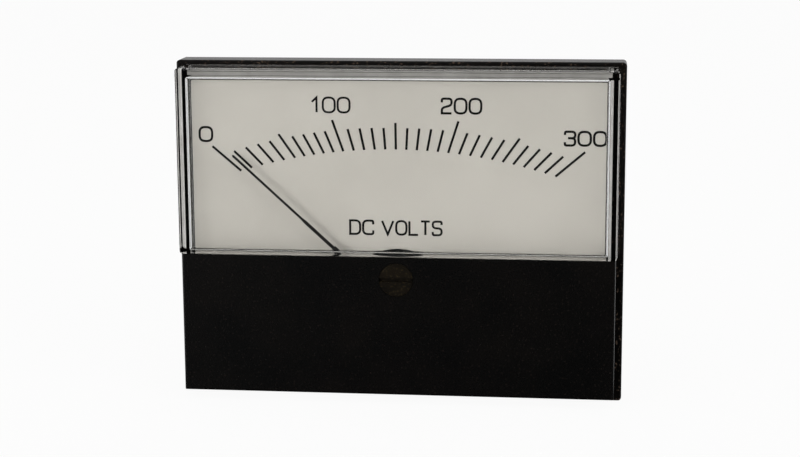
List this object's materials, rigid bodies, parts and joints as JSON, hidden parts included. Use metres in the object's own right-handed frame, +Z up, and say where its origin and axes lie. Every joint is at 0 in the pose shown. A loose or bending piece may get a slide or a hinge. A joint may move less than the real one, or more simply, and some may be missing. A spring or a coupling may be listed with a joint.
{
  "type": "analog panel meter",
  "caption": "Rectangular analog panel meter: clear window over a numbered voltage dial, black lower mask with zero adjuster, moving-coil movement in a round barrel, studs and terminals behind.",
  "frame": {"origin": "on the barrel's axis, in the plane of the flange's back face, which rests on the panel", "axes": "+X to the right seen from the front, +Y into the panel along the barrel's axis, +Z up; the face looks towards -Y"},
  "size_m": [0.107, 0.0615, 0.0816],
  "materials": {
    "black_phenolic": "satin moulded",
    "clear_acrylic": "clear polished acrylic",
    "black_mask": "satin moulded",
    "screw_steel": "zinc plated",
    "screw_black": "black oxide",
    "stud_brass": "turned",
    "adjuster_brown": "satin moulded",
    "spring_steel": "blued spring steel",
    "lever_brass": "stamped",
    "dial_paint": "satin paint",
    "stop_rubber": "matte",
    "pointer_black": "black lacquer",
    "cross_aluminium": "stamped",
    "weight_brass": "wound wire",
    "former_aluminium": "bright",
    "coil_copper": "enamelled copper wire",
    "pivot_steel": "polished",
    "spring_bronze": "rolled phosphor bronze",
    "bridge_aluminium": "die cast",
    "pillar_brass": "turned",
    "sapphire": "polished stone",
    "magnet_alloy": "ground",
    "yoke_iron": "plated soft iron",
    "tinned_lug": "tinned",
    "resistor_lacquer": "lacquered",
    "wire_insulation": "flexible plastic insulation"
  },
  "bodies": {
    "case": {"case_base": "black_phenolic", "front_cover": "clear_acrylic", "lower_mask": "black_mask", "cover_screws": "screw_steel", "mounting_studs": "stud_brass", "adjuster_bushing": "adjuster_brown", "dial_plate": "dial_paint", "dial_screws": "screw_black", "pointer_stops": "stop_rubber", "rear_hairspring": "spring_bronze", "rear_spring_tab": "lever_brass", "front_bridge": "bridge_aluminium", "rear_bridge": "bridge_aluminium", "front_pillars": "pillar_brass", "rear_spacers": "pillar_brass", "front_bridge_screws": "screw_steel", "rear_bridge_screws": "screw_steel", "front_jewel_screw": "lever_brass", "front_jewel_nut": "lever_brass", "front_jewel": "sapphire", "rear_jewel_screw": "lever_brass", "rear_jewel_nut": "lever_brass", "rear_jewel": "sapphire", "core_magnet": "magnet_alloy", "core_spacers": "former_aluminium", "yoke_ring": "yoke_iron", "movement_plate": "bridge_aluminium", "movement_screws": "screw_steel", "terminal_left": "stud_brass", "terminal_right": "stud_brass", "terminal_nuts": "stud_brass", "terminal_washers": "stud_brass", "solder_lug_left": "tinned_lug", "solder_lug_right": "tinned_lug", "multiplier_resistor": "resistor_lacquer", "lead_wires": "wire_insulation"},
    "pointer_assembly": {"pointer": "pointer_black", "balance_cross": "cross_aluminium", "tail_weight": "weight_brass", "side_weights": "weight_brass", "coil_former": "former_aluminium", "moving_coil": "coil_copper", "front_pivot": "pivot_steel", "rear_pivot": "pivot_steel", "front_collet": "lever_brass", "rear_collet": "lever_brass"},
    "adjuster": {"zero_adjuster": "adjuster_brown", "adjuster_clip": "spring_steel"},
    "lever": {"zero_lever": "lever_brass", "front_hairspring": "spring_bronze"}
  },
  "joints": [
    {"name": "pointer_swing", "type": "hinge", "parent": "case", "child": "pointer_assembly", "pos_m": [0, 0, -0.0175], "axis": [0, 1, 0], "range_deg": [-5, 100], "stiffness_Nm_per_rad": 0.00001},
    {"name": "zero_adjuster_turn", "type": "hinge", "parent": "case", "child": "adjuster", "pos_m": [0, 0, -0.0103], "axis": [0, 1, 0], "range_deg": [-35, 35]},
    {"name": "zero_lever_turn", "type": "hinge", "parent": "case", "child": "lever", "pos_m": [0, 0, -0.0175], "axis": [0, 1, 0], "range_deg": [-4.2, 4.2]}
  ],
  "couplings": [
    {"joint": "zero_lever_turn", "follows": "zero_adjuster_turn", "ratio": 0.11111}
  ]
}
